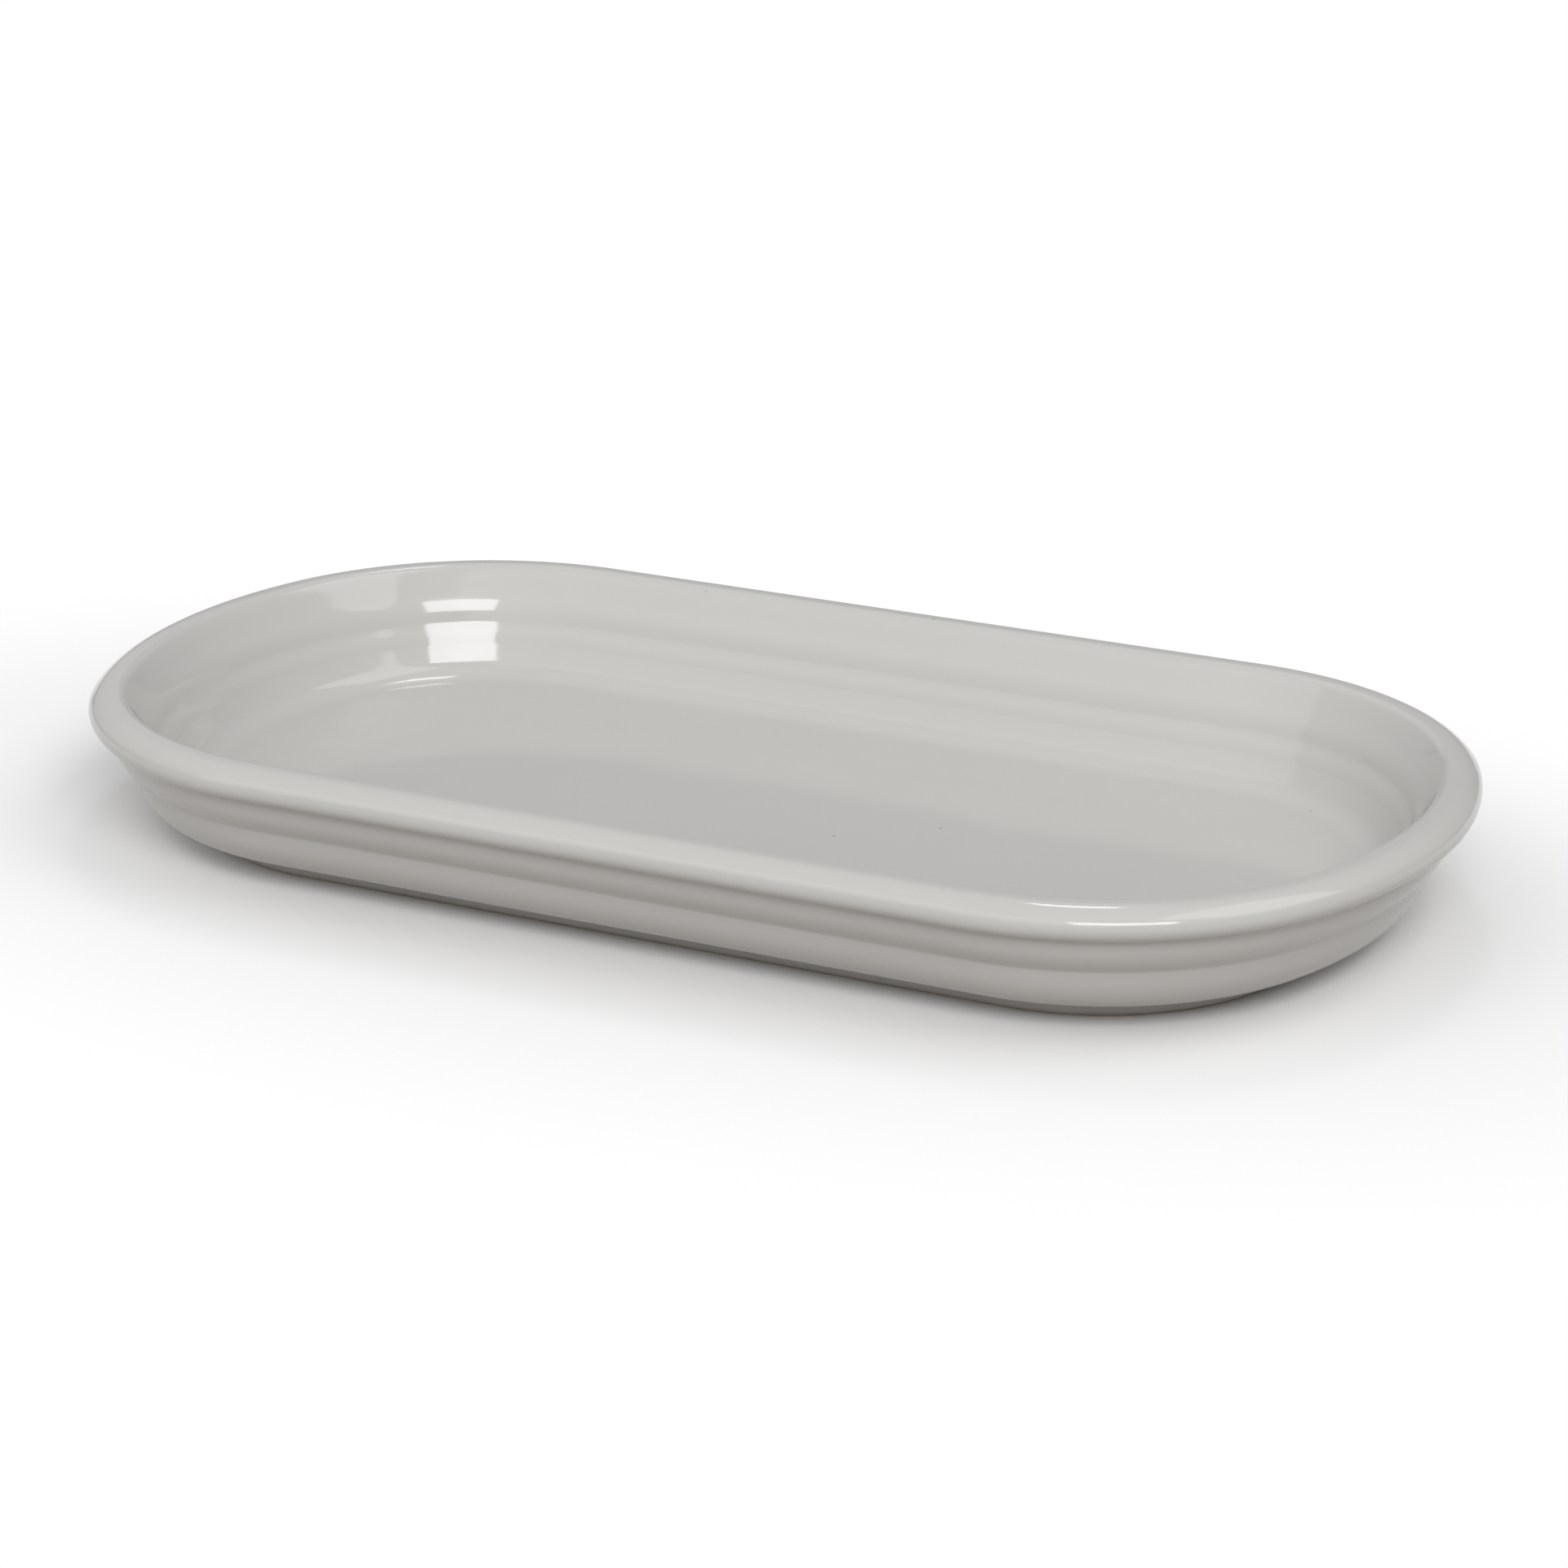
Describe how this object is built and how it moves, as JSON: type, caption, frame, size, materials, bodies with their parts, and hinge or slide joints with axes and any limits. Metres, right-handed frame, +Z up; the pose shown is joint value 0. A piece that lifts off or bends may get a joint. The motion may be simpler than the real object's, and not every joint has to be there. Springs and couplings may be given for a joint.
{
  "type": "asparagus plate",
  "caption": "Oblong glazed ceramic plate with bowed ends, a rolled rim, ribbed sloping walls, a flat floor and a low foot ring, for serving asparagus spears.",
  "frame": {"origin": "middle of the resting face, under the centre of the plate", "axes": "+X along the plate's length, +Y across its width, +Z up out of the plate"},
  "size_m": [0.2668, 0.1448, 0.0273],
  "materials": {
    "bare_clay": "fired, unglazed, matte",
    "gloss_glaze": "pale warm grey gloss glaze",
    "underside_gloss_glaze": "pale warm grey gloss glaze"
  },
  "bodies": {
    "root": {"clay_body": "bare_clay", "glaze_coat": "gloss_glaze", "underside_glaze": "underside_gloss_glaze"}
  },
  "joints": []
}
